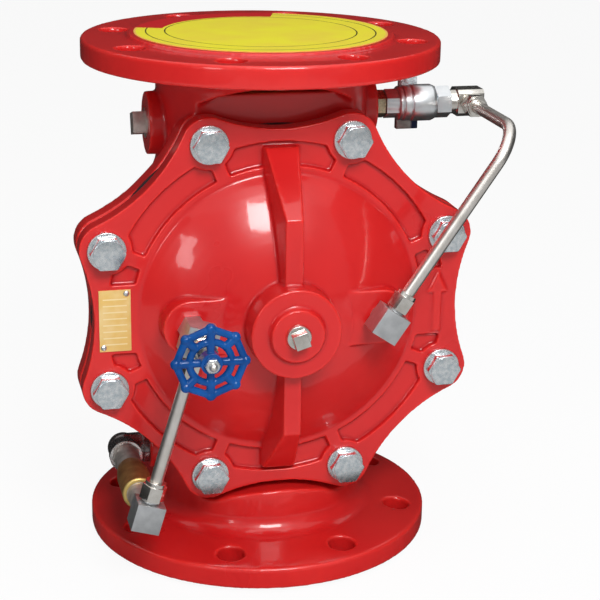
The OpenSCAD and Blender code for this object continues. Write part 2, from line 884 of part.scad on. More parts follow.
// In-line check valve: seat wall behind, lid thread in front
module check_body() {
    color(brass) supply_axis() translate([0, 0, check_start]) difference() {
        rotate_extrude() polygon([
            [0, 0], [check_r - check_taper, 0], [check_r, check_taper_l], [check_r, check_l - check_bevel],
            [check_r - check_bevel, check_l], [0, check_l]
        ]);
        translate([0, 0, -cut]) cylinder(r = nipple_r + fit, h = check_seat_at + cut);
        cylinder(r = check_hole_r, h = check_l);
        translate([0, 0, check_seat_at + check_seat_t]) cylinder(r = check_bore_r + fit, h = check_l);
    }
}

module check_poppet() {
    color(bronze) supply_axis() translate([0, 0, check_start + poppet_at]) {
        cylinder(r = poppet_r, h = poppet_t);
        cylinder(r = poppet_stem_r, h = check_lid_at + guide_t - poppet_short - poppet_at);
    }
}

module check_spring() {
    foot = poppet_at + poppet_t + spring_gap + check_wire_r;
    color(steel) supply_axis() translate([0, 0, check_start + foot])
        coil(check_spring_r, check_wire_r, check_lid_at - spring_gap - check_wire_r - foot, check_turns);
}

// Connector from the check valve to the block; its inner end guides the poppet's stem
module supply_connector() {
    lid = check_start + check_lid_at;
    outer = check_start + check_l;
    color(dark_steel) supply_axis() difference() {
        union() {
            translate([0, 0, lid]) cylinder(r = check_bore_r, h = outer - lid);
            translate([0, 0, outer]) cylinder(r = connector_r, h = connector_end - outer);
            translate([0, 0, connector_end]) cylinder(r = block_spigot_r, h = block_spigot_l);
        }
        translate([0, 0, lid + guide_t])
            cylinder(r1 = check_bore_r - guide_rim, r2 = passage_r, h = check_bore_r);
        translate([0, 0, lid + guide_t]) cylinder(r = passage_r, h = connector_end);
        translate([0, 0, lid - cut]) {
            cylinder(r = poppet_stem_r + fit, h = guide_t + 2 * cut);
            for (k = [0 : guide_holes - 1])
                rotate(360 / guide_holes * (k + 0.5)) translate([guide_hole_at, 0, 0])
                    cylinder(r = guide_hole_r, h = guide_t + 2 * cut);
        }
    }
}

// Square block with a threaded neck for a tube along +Y
module elbow_block(side) {
    cube(side, center = true);
    rotate([-90, 0, 0]) cylinder(r = neck_thread_r, h = side / 2 + block_neck);
}

// Tube socket along +Y, and the way from it to the middle of the block
module elbow_block_bore(side) {
    rotate([-90, 0, 0]) {
        cylinder(r = passage_r, h = side);
        translate([0, 0, socket_floor]) cylinder(r = tube_r + fit, h = side);
    }
}

// Compression nut along +Y of a block, with a turned collar where the tube leaves
module tube_nut(side) {
    rotate([-90, 0, 0]) translate([0, 0, side / 2 + block_neck - nut_grip]) difference() {
        union() {
            hex_bar(nut_af, nut_l - nut_collar_l);
            cylinder(d = nut_af - nut_turned, h = nut_l);
        }
        translate([0, 0, -cut]) cylinder(r = neck_thread_r + fit, h = cut + nut_grip);
        translate([0, 0, -cut]) cylinder(r = tube_r + tube_fit, h = nut_l + 2 * cut);
    }
}

module at_supply_block() {
    supply_axis() translate([0, 0, supply_depth]) rotate(-supply_turn) children();
}

module at_needle() { front() translate([-port_x, 0, supply_depth]) rotate(180 - supply_turn) children(); }
module at_chamber_block() {
    front() translate([port_x, 0, release_depth]) rotate(-release_turn) children();
}
module at_release_elbow() { translate([release_x, 0, release_z]) children(); }

module supply_block() {
    color(steel) difference() {
        at_supply_block() elbow_block(block);
        at_supply_block() elbow_block_bore(block);
        supply_axis() {
            cylinder(r = back_passage_r, h = supply_depth);
            translate([0, 0, connector_end - cut])
                cylinder(r = block_spigot_r + fit, h = block_spigot_l + cut);
        }
    }
}

module supply_tube() {
    color(bright_steel) at_supply_block() translate([0, socket_floor, 0]) rotate([-90, 0, 0])
        ring(tube_r, tube_bore / 2, supply_l - 2 * socket_floor);
}

module supply_nuts() {
    color(steel) {
        at_supply_block() tube_nut(block);
        at_needle() tube_nut(needle_block);
    }
}

module needle_axis() { front() translate([-port_x, 0, 0]) children(); }

module needle_body() {
    back = supply_depth - needle_block / 2;
    color(steel) difference() {
        union() {
            at_needle() elbow_block(needle_block);
            needle_axis() {
                translate([0, 0, port_face - port_thread_l])
                    cylinder(r = port_thread_r, h = back - port_face + port_thread_l + cut);
                translate([0, 0, port_face]) hex_bar(needle_hex_af, back - port_face + cut);
            }
        }
        at_needle() elbow_block_bore(needle_block);
        needle_axis() {
            cylinder(d = orifice_d, h = needle_face);
            translate([0, 0, needle_seat]) cylinder(r = needle_bore_r + fit, h = needle_face);
        }
    }
}

module needle_bonnet() {
    color(steel) needle_axis() translate([0, 0, needle_face]) difference() {
        union() {
            translate([0, 0, -bonnet_spigot_l]) cylinder(r = needle_bore_r, h = bonnet_spigot_l);
            hex_bar(bonnet_af, bonnet_hex_l);
            cylinder(r = needle_bore_r, h = bonnet_hex_l + gland_l - gland_floor);
        }
        translate([0, 0, -bonnet_spigot_l - cut]) cylinder(r = stem_r + fit, h = needle_face);
    }
}

module needle_gland() {
    color(steel) needle_axis() translate([0, 0, needle_face + bonnet_hex_l]) difference() {
        hex_head(gland_af, gland_l);
        translate([0, 0, -cut]) cylinder(r = needle_bore_r + fit, h = gland_l - gland_floor + cut);
        cylinder(r = stem_r + fit, h = gland_l + cut);
    }
}

// Swivel disc that the stem presses on the seat
module needle_disc() {
    color(bright_steel) needle_axis() translate([0, 0, needle_seat + face_gap / 2]) difference() {
        union() {
            cylinder(r1 = needle_disc_r - needle_bevel, r2 = needle_disc_r, h = needle_bevel);
            translate([0, 0, needle_bevel])
                cylinder(r = needle_disc_r, h = needle_disc_t - needle_bevel - face_gap / 2);
        }
        translate([0, 0, needle_disc_t - swivel_l - face_gap])
            cylinder(r = swivel_r + fit, h = needle_disc_t);
    }
}

module needle_stem() {
    hub_back = wheel_depth - wheel_hub_l / 2;
    color(bright_steel) needle_axis() {
        translate([0, 0, stem_foot - swivel_l]) cylinder(r = swivel_r, h = swivel_l);
        translate([0, 0, stem_foot]) cylinder(r = stem_r, h = hub_back - stem_foot);
        translate([0, 0, hub_back]) cylinder(r = wheel_stem_r, h = wheel_stem_end - hub_back);
        translate([0, 0, wheel_stem_end]) intersection() {
            sphere(wheel_stem_r);
            cylinder(r = wheel_stem_r, h = wheel_stem_r);
        }
    }
}

// Scalloped handwheel: straight rim bars between eight lobes, an inner ring and two rows of spokes
module handwheel() {
    lobes = 8;
    lobe_at = wheel_r - wheel_lobe_r;
    bar_l = 2 * lobe_at * sin(180 / lobes);
    color(blue) needle_axis() translate([0, 0, wheel_depth]) difference() {
        union() {
            translate([0, 0, -wheel_hub_l / 2]) cylinder(r = wheel_hub_r, h = wheel_hub_l);
            rotate_extrude() translate([wheel_ring_r, 0]) circle(wheel_tube_r);
            for (k = [0 : lobes - 1]) rotate(360 / lobes * k) {
                translate([lobe_at, 0, 0]) {
                    sphere(wheel_lobe_r);
                    rotate(90 + 180 / lobes) rotate([0, 90, 0]) cylinder(r = wheel_bar_r, h = bar_l);
                }
                translate([wheel_ring_r - spoke_root, 0, 0]) rotate([0, 90, 0])
                    cylinder(r = outer_spoke_r, h = lobe_at - wheel_ring_r);
            }
            for (k = [0, 1]) rotate(90 * k) rotate([0, 90, 0])
                cylinder(r = wheel_spoke_r, h = 2 * wheel_ring_r - spoke_root, center = true);
        }
        translate([0, 0, -wheel_hub_l]) cylinder(r = wheel_stem_r + fit, h = 2 * wheel_hub_l);
    }
}

module handwheel_nut() {
    color(bright_steel) needle_axis() translate([0, 0, wheel_depth + wheel_hub_l / 2]) difference() {
        hex_head(wheel_nut_af, wheel_nut_l);
        translate([0, 0, -cut]) cylinder(r = wheel_stem_r + fit, h = wheel_nut_l + 2 * cut);
    }
}

module chamber_block() {
    back = release_depth - block / 2;
    spigot = port_face - port_thread_l;
    color(steel) difference() {
        union() {
            at_chamber_block() elbow_block(block);
            front() translate([port_x, 0, 0]) {
                translate([0, 0, spigot]) cylinder(r = port_thread_r, h = back + cut - spigot);
                translate([0, 0, port_face]) cylinder(r = block_collar_r, h = back + cut - port_face);
            }
        }
        at_chamber_block() elbow_block_bore(block);
        front() translate([port_x, 0, 0]) cylinder(r = back_passage_r, h = release_depth);
    }
}

// Centre line of the release tube: up the cover's face, round one bend and back to the elbow
module release_route(r) {
    rise = release_l - bend_r - socket_floor;
    run = release_depth - bend_r - socket_floor;
    rotate([-90, 0, 0]) translate([0, 0, socket_floor]) cylinder(r = r, h = rise);
    translate([0, release_l - bend_r, -bend_r]) rotate([90, 0, 90]) rotate_extrude(angle = 90)
        translate([bend_r, 0]) circle(r);
    translate([0, release_l, socket_floor - release_depth]) cylinder(r = r, h = run);
}

module release_tube() {
    color(bright_steel) at_chamber_block() difference() {
        release_route(tube_r);
        release_route(tube_bore / 2);
    }
}

module release_nuts() {
    color(steel) {
        at_chamber_block() tube_nut(block);
        at_release_elbow() rotate([180, 0, 0]) tube_nut(block);
    }
}

// Forged elbow: round shank from the ball valve, square body, tube outlet towards the front
module release_elbow() {
    color(bright_steel) at_release_elbow() difference() {
        union() {
            intersection() {
                cube(block, center = true);
                rotate([0, 90, 0]) cylinder(r = elbow_turned_r, h = block, center = true);
            }
            rotate([90, 0, 0]) cylinder(r = neck_thread_r, h = block / 2 + block_neck);
            rotate([0, -90, 0]) {
                cylinder(r = elbow_shank_r, h = elbow_shank);
                cylinder(r = elbow_spigot_r, h = elbow_shank + elbow_spigot_l);
            }
        }
        rotate([180, 0, 0]) elbow_block_bore(block);
        rotate([0, -90, 0]) cylinder(r = back_passage_r, h = elbow_shank + elbow_spigot_l + cut);
    }
}

module release_bushing() {
    through = body_thread_l + bushing_hex_l + bushing_spigot_l + 2 * cut;
    color(brass) release_axis() translate([0, 0, release_boss_x]) difference() {
        union() {
            translate([0, 0, -body_thread_l]) cylinder(r = release_thread_r, h = body_thread_l);
            hex_bar(bushing_af, bushing_hex_l);
            cylinder(r = bushing_spigot_r, h = bushing_hex_l + bushing_spigot_l);
        }
        translate([0, 0, -body_thread_l - cut]) cylinder(d = ball_bore, h = through);
    }
}

module ball_valve_end() {
    color(bright_steel) release_axis() translate([0, 0, end_at]) difference() {
        union() {
            hex_bar(end_af, end_hex_l);
            cylinder(r = ball_cavity_r, h = end_hex_l + end_spigot_l);
        }
        translate([0, 0, -cut]) {
            cylinder(d = ball_bore, h = end_hex_l + end_spigot_l + 2 * cut);
            cylinder(r = bushing_spigot_r + fit, h = bushing_spigot_l + cut);
        }
    }
}

// Barrel with two turned grooves, a hexagon at its far end and a boss for the stem at its back
module ball_valve_body() {
    barrel_r = ball_body_d / 2;
    color(bright_steel) difference() {
        union() {
            release_axis() translate([0, 0, body_at]) {
                rotate_extrude() polygon([
                    [0, 0], [barrel_r - 2 * groove, 0], [barrel_r - groove, groove],
                    [barrel_r - groove, first_band - groove], [barrel_r - 2 * groove, first_band],
                    [barrel_r - groove / 2, first_band + groove],
                    [barrel_r - groove / 2, second_band - groove],
                    [barrel_r - 1.5 * groove, second_band], [barrel_r, second_band + groove],
                    [barrel_r, body_barrel_l - 4 * groove],
                    [barrel_r - 1.2 * groove, body_barrel_l - 1.2 * groove],
                    [barrel_r - 4 * groove, body_barrel_l], [0, body_barrel_l]
                ]);
                translate([0, 0, body_barrel_l]) hex_bar(body_hex_af, body_hex_l);
            }
            stem_axis() cylinder(r = stem_boss_r, h = stem_boss_y);
        }
        release_axis() {
            translate([0, 0, body_at - cut])
                cylinder(r = ball_cavity_r + fit, h = cavity_end - body_at + cut);
            cylinder(d = ball_bore, h = body_end + cut);
            translate([0, 0, body_end - elbow_spigot_l]) cylinder(r = elbow_spigot_r + fit, h = body_end);
        }
        stem_axis() cylinder(r = ball_stem_r + fit, h = stem_boss_y + cut);
    }
}

// The stem points away from the cover
module stem_axis() { translate([ball_x, 0, release_z]) rotate([-90, 0, 0]) children(); }

module ball_seats() {
    color(white_seal) release_axis() difference() {
        union() {
            translate([0, 0, body_at + end_spigot_l]) cylinder(r = ball_cavity_r, h = seat_ring_l);
            translate([0, 0, cavity_end - seat_ring_l]) cylinder(r = ball_cavity_r, h = seat_ring_l);
        }
        translate([0, 0, ball_x]) sphere(ball_r + fit);
        translate([0, 0, body_at]) cylinder(d = ball_bore, h = body_barrel_l);
    }
}

// Shut at rest: the ball's bore stands across the line
module ball() {
    color("#dfe2e3") translate([ball_x, 0, release_z]) difference() {
        sphere(ball_r);
        cylinder(d = ball_bore, h = 2 * ball_d, center = true);
        rotate([-90, 0, 0]) translate([0, 0, ball_r - ball_socket])
            cylinder(r = ball_stem_r + fit, h = ball_d);
    }
}

module ball_stem() {
    color(steel) stem_axis() translate([0, 0, ball_r - ball_socket])
        cylinder(r = ball_stem_r, h = lever_y + lever_t + lever_nut_l + stem_tip - ball_r + ball_socket);
}

module stem_gland() {
    color(steel) stem_axis() translate([0, 0, stem_boss_y]) difference() {
        hex_bar(gland_nut_af, gland_nut_l - face_gap);
        translate([0, 0, -cut]) cylinder(r = ball_stem_r + fit, h = gland_nut_l + 2 * cut);
    }
}

// Flat lever across the line, with a round end above and a sleeve below; x across, y down here
module lever_frame() { stem_axis() translate([0, 0, lever_y]) children(); }

module release_lever() {
    color(steel) lever_frame() difference() {
        linear_extrude(lever_t) {
            translate([-lever_w / 2, 0]) square([lever_w, lever_l - sleeve_wall]);
            translate([-lever_w / 2, -lever_tail + lever_w / 2]) square([lever_w, lever_tail]);
            translate([0, -lever_tail + lever_w / 2]) circle(lever_w / 2);
        }
        translate([0, 0, -cut]) cylinder(r = ball_stem_r + fit, h = lever_t + 2 * cut);
    }
}

module lever_sleeve() {
    sleeve_w = lever_w + 2 * sleeve_wall;
    color("#123a73") lever_frame() difference() {
        translate([-sleeve_w / 2, lever_l - sleeve_l, -sleeve_wall])
            cube([sleeve_w, sleeve_l, lever_t + 2 * sleeve_wall]);
        translate([-lever_w / 2, 0, 0]) cube([lever_w, lever_l - sleeve_wall, lever_t]);
    }
}

module lever_nut() {
    color(steel) lever_frame() translate([0, 0, lever_t]) difference() {
        hex_head(lever_nut_af, lever_nut_l);
        translate([0, 0, -cut]) cylinder(r = ball_stem_r + fit, h = lever_nut_l + 2 * cut);
    }
}

valve_body();
seat_ring();
diaphragm();
clamp_plate();
retaining_plate();
clamp_bolt();
clamp_nut();
return_spring();
cover();
cover_bolts();
cover_washers();
centre_plug();
side_plug();
nameplate();
nameplate_rivets();
supply_elbow();
supply_nipple();
check_body();
check_poppet();
check_spring();
supply_connector();
supply_block();
supply_tube();
supply_nuts();
needle_body();
needle_bonnet();
needle_gland();
needle_disc();
needle_stem();
handwheel();
handwheel_nut();
chamber_block();
release_tube();
release_nuts();
release_elbow();
release_bushing();
ball_valve_end();
ball_valve_body();
ball_seats();
ball();
ball_stem();
stem_gland();
release_lever();
lever_sleeve();
lever_nut();
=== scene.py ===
# Sprinkler alarm valve: finishes, cast surfaces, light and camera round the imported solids
import bpy
import json
import math
from mathutils import Matrix, Vector


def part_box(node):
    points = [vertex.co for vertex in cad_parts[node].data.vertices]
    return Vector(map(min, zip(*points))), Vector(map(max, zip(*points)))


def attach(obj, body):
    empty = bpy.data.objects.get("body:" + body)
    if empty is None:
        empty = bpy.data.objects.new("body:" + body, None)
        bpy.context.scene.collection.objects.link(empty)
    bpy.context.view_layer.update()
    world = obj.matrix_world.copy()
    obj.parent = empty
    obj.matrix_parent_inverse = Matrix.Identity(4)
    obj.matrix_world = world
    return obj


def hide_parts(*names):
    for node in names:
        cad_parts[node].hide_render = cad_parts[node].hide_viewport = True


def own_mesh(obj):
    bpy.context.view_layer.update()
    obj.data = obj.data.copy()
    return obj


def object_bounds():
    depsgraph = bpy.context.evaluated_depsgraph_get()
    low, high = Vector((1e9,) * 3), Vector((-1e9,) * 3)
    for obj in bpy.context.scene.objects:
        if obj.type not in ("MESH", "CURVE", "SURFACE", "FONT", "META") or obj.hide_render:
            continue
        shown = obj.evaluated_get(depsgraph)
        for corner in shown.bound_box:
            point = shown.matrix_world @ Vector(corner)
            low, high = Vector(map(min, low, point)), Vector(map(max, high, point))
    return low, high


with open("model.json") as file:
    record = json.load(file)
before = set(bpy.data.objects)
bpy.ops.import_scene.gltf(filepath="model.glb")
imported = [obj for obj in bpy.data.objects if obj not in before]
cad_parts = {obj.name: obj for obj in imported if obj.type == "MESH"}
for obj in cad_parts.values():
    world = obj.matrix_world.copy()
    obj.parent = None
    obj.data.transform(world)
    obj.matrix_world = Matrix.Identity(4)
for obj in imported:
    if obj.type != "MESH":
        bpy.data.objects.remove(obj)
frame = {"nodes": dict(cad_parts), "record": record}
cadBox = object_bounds()
nodes = frame["nodes"]
mm = 0.001
weldGap = 0.002 * mm
smoothAngle = math.radians(32)  # edges sharper than this stay sharp
white = "#ffffff"
scene = bpy.context.scene
scene.view_settings.view_transform = "Standard"
bpy.ops.object.select_all(action="DESELECT")
print("frame loaded:", len(nodes), "nodes")


# small helpers

def linear(hexText):
    channels = [int(hexText[i:i + 2], 16) / 255 for i in (1, 3, 5)]
    return [c / 12.92 if c <= 0.04045 else ((c + 0.055) / 1.055) ** 2.4 for c in channels] + [1.0]


def perSize(sizeMm):
    return 1 / (sizeMm * mm)  # texture scale that gives features of this size


def addNode(tree, kind, values=None, links=None, **settings):
    node = tree.nodes.new(kind)
    for name, value in settings.items():
        setattr(node, name, value)
    for socket, value in (values or {}).items():
        node.inputs[socket].default_value = value
    for socket, source in (links or {}).items():
        tree.links.new(source, node.inputs[socket])
    return node


def addMath(tree, operation, *terms):
    values = {i: term for i, term in enumerate(terms) if isinstance(term, (int, float))}
    links = {i: term for i, term in enumerate(terms) if i not in values}
    return addNode(tree, "ShaderNodeMath", values, links, operation=operation).outputs[0]


def addNoise(tree, place, sizeMm, detail):
    values = {"Scale": perSize(sizeMm), "Detail": detail}
    return addNode(tree, "ShaderNodeTexNoise", values, {"Vector": place}).outputs["Fac"]


def addRamp(tree, share, stops):
    ramp = addNode(tree, "ShaderNodeValToRGB", None, {"Fac": share})
    shades = ramp.color_ramp.elements
    while len(shades) < len(stops):
        shades.new(0.5)
    for shade, (position, colour) in zip(shades, stops):
        shade.position = position
        shade.color = linear(colour)
    return ramp.outputs["Color"]


def addCover(tree, share, under, colour):
    # one flat colour over another, where the share says so
    values, links = {7: linear(colour)}, {0: share, 6: under}
    return addNode(tree, "ShaderNodeMix", values, links, data_type="RGBA").outputs[2]


def addRelief(tree, height, depthMm, under=None):
    links = {"Height": height}
    if under is not None:
        links["Normal"] = under
    values = {"Strength": 1.0, "Distance": depthMm * mm}
    return addNode(tree, "ShaderNodeBump", values, links).outputs["Normal"]


def startMaterial(name):
    material = bpy.data.materials.new(name)
    material.use_nodes = True
    tree = material.node_tree
    shader = tree.nodes["Principled BSDF"]
    place = addNode(tree, "ShaderNodeTexCoord").outputs["Object"]
    return material, tree, shader, place


def startGlow(name):
    material = bpy.data.materials.new(name)
    material.use_nodes = True
    tree = material.node_tree
    tree.nodes.remove(tree.nodes["Principled BSDF"])
    return material, tree, tree.nodes["Material Output"].inputs["Surface"]


def onlySelect(piece):
    bpy.ops.object.select_all(action="DESELECT")
    piece.select_set(True)
    bpy.context.view_layer.objects.active = piece


def applyModifier(piece, kind, **settings):
    onlySelect(piece)
    bpy.ops.object.modifier_add(type=kind)
    modifier = piece.modifiers[-1]
    for name, value in settings.items():
        setattr(modifier, name, value)
    bpy.ops.object.modifier_apply(modifier=modifier.name)


def copyOf(node, name):
    piece = bpy.data.objects.new(name, nodes[node].data.copy())
    scene.collection.objects.link(piece)
    piece.data.materials.clear()
    onlySelect(piece)
    bpy.ops.mesh.customdata_custom_splitnormals_clear()
    bpy.ops.object.mode_set(mode="EDIT")
    bpy.ops.mesh.select_all(action="SELECT")
    bpy.ops.mesh.remove_doubles(threshold=weldGap)
    bpy.ops.object.mode_set(mode="OBJECT")
    return piece


def standIn(piece, node, material):
    piece.data.materials.clear()
    piece.data.materials.append(material)
    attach(piece, bodyOf[node])
    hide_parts(node)


bodyOf = {}
for bodyName, members in frame["record"]["behaviour"]["bodies"].items():
    for member in members:
        bodyOf[member] = bodyName


# camera

view = {
    "place": (-279.86, -1278.12, 620.68),  # mm, in the part's frame
    "yaw": 0.2417,
    "pitch": -0.3132,
    "roll": 0.0153,
    "focalPixels": 1649.62,
    "frame": 600,
    "sensor": 36.0,
}


def makeCamera():
    yaw, pitch, roll = view["yaw"], view["pitch"], view["roll"]
    ahead = Vector((math.sin(yaw) * math.cos(pitch), math.cos(yaw) * math.cos(pitch), math.sin(pitch)))
    side = Vector((math.cos(yaw), -math.sin(yaw), 0))
    above = side.cross(ahead)
    right = math.cos(roll) * side + math.sin(roll) * above
    up = math.cos(roll) * above - math.sin(roll) * side
    data = bpy.data.cameras.new("camera")
    data.sensor_fit = "HORIZONTAL"
    data.sensor_width = view["sensor"]
    data.lens = view["focalPixels"] / view["frame"] * view["sensor"]
    data.clip_end = 20
    camera = bpy.data.objects.new("camera", data)
    scene.collection.objects.link(camera)
    turn = Matrix((right, up, -ahead)).transposed().to_4x4()
    camera.matrix_world = Matrix.Translation(Vector(view["place"]) * mm) @ turn
    scene.camera = camera


makeCamera()
print("camera set")


# finishes

redEnamel = {
    "hollow": (0.46, "#980f17"),  # where on the curve from hollows to edges each red sits; the dark red of hollows is painted shade, the pale red of edges a painted highlight
    "face": (0.52, "#c91c1e"),
    "edgePaintedHighlight": (0.58, "#dd2a25"),
    "blotchSize": 70,
    "blotchShare": 0.06,
    "peelSize": 2.6,
    "peelDepth": 0.01,
    "castSize": 24,
    "castDepth": 0.2,
    "matt": (0.24, 0.34),
    "specular": 0.3,
    "coat": 0.5,
    "coatRoughness": 0.06,
}


def makeRedEnamel():
    # sprayed enamel on sand-cast iron: wet gloss over a skin that is never quite flat, with painted shade
    # darkening the hollows and a painted highlight paling the edges
    material, tree, shader, place = startMaterial("redEnamel")
    blotch = addNoise(tree, place, redEnamel["blotchSize"], 3.0)
    # pointiness is low in hollows, where the ramp paints shade, and high on edges, where it paints a
    # highlight
    bend = addNode(tree, "ShaderNodeNewGeometry").outputs["Pointiness"]
    drift = addMath(tree, "MULTIPLY", blotch, redEnamel["blotchShare"])
    tint = addRamp(tree, addMath(tree, "ADD", bend, drift),
                   (redEnamel["hollow"], redEnamel["face"], redEnamel["edgePaintedHighlight"]))
    tree.links.new(tint, shader.inputs["Base Color"])
    waves = addRelief(tree, addNoise(tree, place, redEnamel["castSize"], 1.5), redEnamel["castDepth"])
    skin = addRelief(tree, addNoise(tree, place, redEnamel["peelSize"], 2.0), redEnamel["peelDepth"], waves)
    tree.links.new(skin, shader.inputs["Normal"])
    low, high = redEnamel["matt"]
    dull = addNode(tree, "ShaderNodeMapRange", {"To Min": low, "To Max": high}, {"Value": blotch})
    tree.links.new(dull.outputs["Result"], shader.inputs["Roughness"])
    shader.inputs["Specular IOR Level"].default_value = redEnamel["specular"]
    shader.inputs["Coat Weight"].default_value = redEnamel["coat"]
    shader.inputs["Coat Roughness"].default_value = redEnamel["coatRoughness"]
    return material


cloudRange = (0.35, 0.65)  # the part of a noise that spans both colours
grainRange = (0.3, 0.7)


def makeMetal(name, look):
    # bare or plated metal: colour drift, uneven sheen, a fine grain and, on some, another colour at one end
    material, tree, shader, place = startMaterial(name)
    cloud = addNoise(tree, place, look["cloudSize"], 3.0)
    grain = addNoise(tree, place, look["grainSize"], 2.0)
    colour = addRamp(tree, cloud, ((cloudRange[0], look["dark"]), (cloudRange[1], look["light"])))
    if "tip" in look:
        tip = look["tip"]
        apart = addNode(tree, "ShaderNodeSeparateXYZ", None, {"Vector": place})
        reach = addNode(tree, "ShaderNodeMapRange", {"From Min": tip["from"], "From Max": tip["to"]},
                        {"Value": apart.outputs[tip["axis"]]})
        colour = addCover(tree, reach.outputs["Result"], colour, tip["colour"])
    tree.links.new(colour, shader.inputs["Base Color"])
    sheen = addNode(tree, "ShaderNodeMapRange",
                    {"From Min": grainRange[0], "From Max": grainRange[1],
                     "To Min": look["smooth"], "To Max": look["rough"]}, {"Value": grain})
    tree.links.new(sheen.outputs["Result"], shader.inputs["Roughness"])
    tree.links.new(addRelief(tree, grain, look["grainDepth"]), shader.inputs["Normal"])
    shader.inputs["Metallic"].default_value = look.get("metallic", 1.0)
    return material


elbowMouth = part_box("supply_elbow")[0][1]
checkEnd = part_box("check_body")[0][1]
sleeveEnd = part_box("lever_sleeve")[1][0]
metalLooks = {
    # zinc plate on turned steel: cool and even
    "zincPlate": {"dark": "#d6dadd", "light": "#eaedef", "cloudSize": 5, "grainSize": 0.8,
                  "grainDepth": 0.002, "smooth": 0.24, "rough": 0.32},
    # zinc plate on forged heads: dimpled, with milky and blue patches
    "forgedZinc": {"dark": "#cfd9df", "light": "#f2f6f8", "cloudSize": 3.2, "grainSize": 2.2,
                   "grainDepth": 0.004, "smooth": 0.22, "rough": 0.3},
    # nickel plate over forged brass: warm and bright
    "nickelPlate": {"dark": "#cfcbc4", "light": "#e4e1db", "cloudSize": 12, "grainSize": 1.2,
                    "grainDepth": 0.002, "smooth": 0.18, "rough": 0.27},
    # blasted nickel: the square blocks, flat grey with a fine tooth
    "blastedNickel": {"dark": "#bdbfc1", "light": "#cfd1d3", "cloudSize": 9, "grainSize": 0.6,
                      "grainDepth": 0.016, "smooth": 0.4, "rough": 0.52},
    # satin nickel casting: the small valve's barrel
    "satinNickel": {"dark": "#e0e4e7", "light": "#eff2f4", "cloudSize": 14, "grainSize": 0.8,
                    "grainDepth": 0.006, "smooth": 0.28, "rough": 0.38},
    # drawn stainless tube
    "drawnStainless": {"dark": "#dfdad3", "light": "#eeeae5", "cloudSize": 16, "grainSize": 1.5,
                       "grainDepth": 0.0002, "smooth": 0.34, "rough": 0.4},
    # galvanised pipe gone grey
    "galvanisedPipe": {"dark": "#aea69f", "light": "#c8c1bb", "cloudSize": 5, "grainSize": 1.0,
                       "grainDepth": 0.006, "smooth": 0.38, "rough": 0.5, "metallic": 0.75},
    # malleable iron, oiled dark, with a pale band at its mouth end
    "darkIron": {"dark": "#767070", "light": "#8c8686", "cloudSize": 10, "grainSize": 1.2,
                 "grainDepth": 0.008, "smooth": 0.2, "rough": 0.3, "metallic": 0.85,
                 "tip": {"axis": "Y", "from": elbowMouth + 1.2 * mm, "to": elbowMouth + 0.8 * mm,
                         "colour": "#e6e4e2"}},
    # turned brass gone brown, with a fresh end
    "agedBrass": {"dark": "#9f6c40", "light": "#bb8a54", "cloudSize": 9, "grainSize": 0.8,
                  "grainDepth": 0.003, "smooth": 0.34, "rough": 0.44, "metallic": 0.7,
                  "tip": {"axis": "Y", "from": checkEnd + 2.2 * mm, "to": checkEnd + 1.4 * mm,
                          "colour": "#d9bd74"}},
    # dull brass hexagon
    "dullBrass": {"dark": "#b3a287", "light": "#cbba9c", "cloudSize": 6, "grainSize": 0.7,
                  "grainDepth": 0.004, "smooth": 0.22, "rough": 0.34},
    # clean brass and bronze
    "cleanBrass": {"dark": "#b08a3e", "light": "#cba557", "cloudSize": 9, "grainSize": 0.8,
                   "grainDepth": 0.006, "smooth": 0.2, "rough": 0.32},
    # polished chrome on the ball
    "polishedChrome": {"dark": "#c9cccd", "light": "#dfe2e3", "cloudSize": 10, "grainSize": 2.0,
                       "grainDepth": 0.001, "smooth": 0.05, "rough": 0.1},
    # grip of the lever: grey metal along its length, dark navy at one end
    "greyGripNavyEnd": {"dark": "#8b8783", "light": "#a6a19d", "cloudSize": 6, "grainSize": 0.8,
                 "grainDepth": 0.01, "smooth": 0.3, "rough": 0.44, "metallic": 0.7,
                 "tip": {"axis": "X", "from": sleeveEnd - 7 * mm, "to": sleeveEnd - 5 * mm,
                         "colour": "#141f3f"}},
}


tintRange = (0.3, 0.7)


def makePlastic(name, look):
    # rubber, plastic or thick paint: a dielectric with a faint skin
    material, tree, shader, place = startMaterial(name)
    cloud = addNoise(tree, place, look["cloudSize"], 2.0)
    tint = addRamp(tree, cloud, ((tintRange[0], look["dark"]), (tintRange[1], look["light"])))
    tree.links.new(tint, shader.inputs["Base Color"])
    skin = addNoise(tree, place, look["skinSize"], 1.0)
    tree.links.new(addRelief(tree, skin, look["skinDepth"]), shader.inputs["Normal"])
    shader.inputs["Roughness"].default_value = look["roughness"]
    shader.inputs["Specular IOR Level"].default_value = look.get("shine", 0.5)
    return material


plasticLooks = {
    # blue stoving enamel, thick in the corners
    "blueEnamel": {"dark": "#0b3f7f", "light": "#125097", "cloudSize": 12, "skinSize": 5, "skinDepth": 0.04,
                   "roughness": 0.14, "shine": 0.22},
    # black rubber with a cloth core
    "blackRubber": {"dark": "#17181b", "light": "#232429", "cloudSize": 10, "skinSize": 0.8,
                    "skinDepth": 0.03, "roughness": 0.5},
    # white seal plastic
    "whiteSeal": {"dark": "#e2e0d9", "light": "#efede7", "cloudSize": 8, "skinSize": 1.5, "skinDepth": 0.01,
                  "roughness": 0.4},
}


plateLook = {
    "gold": (0.4, "#efc674"),  # share of dye gone, and the colour there
    "pale": (1.0, "#fbe2ac"),
    "driftSize": 14,
    "ruleStep": 5.2,  # mm between two ruled lines
    "ruleWidth": 0.2,  # share of that step
    "margin": 3.0,
    "metallic": 0.35,
    "roughness": 0.42,
}


